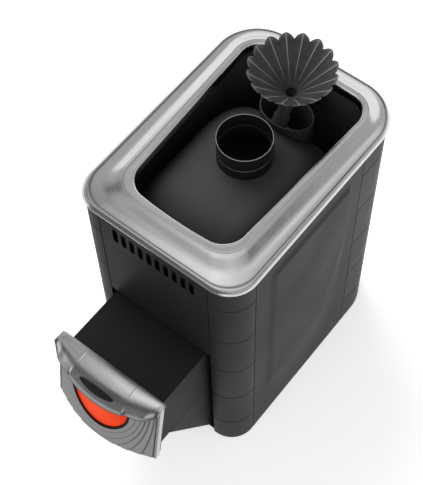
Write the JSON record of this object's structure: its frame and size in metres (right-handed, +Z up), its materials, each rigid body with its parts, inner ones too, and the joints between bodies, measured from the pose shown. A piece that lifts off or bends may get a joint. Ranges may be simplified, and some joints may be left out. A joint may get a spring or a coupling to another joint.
{
  "type": "sauna heater stove",
  "caption": "Wood-burning sauna heater: posted steel casing with an open stone hopper, a fuel tunnel with a bowed windowed door, an ash drawer, a flue collar and a steam funnel.",
  "frame": {"origin": "on the floor under the middle of the overall width and depth", "axes": "+Z up, the door faces -Y, +X to the right of someone who faces the door"},
  "size_m": [0.425, 0.828, 0.837],
  "materials": {
    "anthracite_paint": "matte heat-proof paint",
    "post_paint": "matte heat-proof paint",
    "stainless": "polished and lightly brushed",
    "door_steel": "satin",
    "black_steel": "matte black",
    "firebox_steel": "rolled plate, matte",
    "collar_steel": "satin black, turned",
    "funnel_steel": "satin",
    "cast_iron": "as cast",
    "glow_glass": "heat-proof glass lit by the fire",
    "rope_seal": "braided mineral rope",
    "zinc": "galvanised"
  },
  "bodies": {
    "stove": {"base_plate": "black_steel", "collar_stub": "collar_steel", "corner_post_front_left": "post_paint", "corner_post_front_right": "post_paint", "corner_post_rear_left": "post_paint", "corner_post_rear_right": "post_paint", "door_frame": "black_steel", "door_seal": "rope_seal", "fire_grate": "cast_iron", "firebox_floor": "black_steel", "firebox_shell": "firebox_steel", "firebox_support_left": "black_steel", "firebox_support_right": "black_steel", "flame_baffle": "black_steel", "flue_ring": "collar_steel", "front_panel": "anthracite_paint", "fuel_tunnel": "black_steel", "grate_ledge_left": "black_steel", "grate_ledge_right": "black_steel", "hinge_pin_lower": "zinc", "hinge_pin_upper": "zinc", "hopper_liner": "black_steel", "pocket_sleeve": "firebox_steel", "rear_panel": "anthracite_paint", "rear_panel_screw_1": "zinc", "rear_panel_screw_2": "zinc", "rear_panel_screw_3": "zinc", "rear_panel_screw_4": "zinc", "rear_panel_screw_5": "zinc", "rear_panel_screw_6": "zinc", "side_panel_left": "anthracite_paint", "side_panel_right": "anthracite_paint", "steam_pocket": "firebox_steel", "stone_tray": "black_steel", "top_rim": "stainless", "tunnel_shelf": "black_steel", "tunnel_wedge": "anthracite_paint"},
    "door": {"door_panel": "door_steel", "door_visor": "stainless", "badge_plate": "door_steel", "window_bead": "black_steel", "window_glass": "glow_glass", "glass_gasket": "rope_seal", "glass_retainer": "black_steel", "heat_shield": "black_steel"},
    "ash_drawer": {"ash_drawer": "zinc", "drawer_pull": "zinc"},
    "funnel": {"funnel": "funnel_steel", "feed_tube": "funnel_steel"}
  },
  "joints": [
    {"name": "door_hinge", "type": "hinge", "parent": "stove", "child": "door", "pos_m": [-0.148, -0.36254, 0.23738], "axis": [0, -0.1771, -0.9842], "range_deg": [0, 110]},
    {"name": "ash_drawer_slide", "type": "slide", "parent": "stove", "child": "ash_drawer", "axis": [0, -1, 0], "range_m": [0, 0.11]},
    {"name": "funnel_lift", "type": "slide", "parent": "stove", "child": "funnel", "axis": [0, 0.5, 0.866], "range_m": [0, 0.04]}
  ]
}
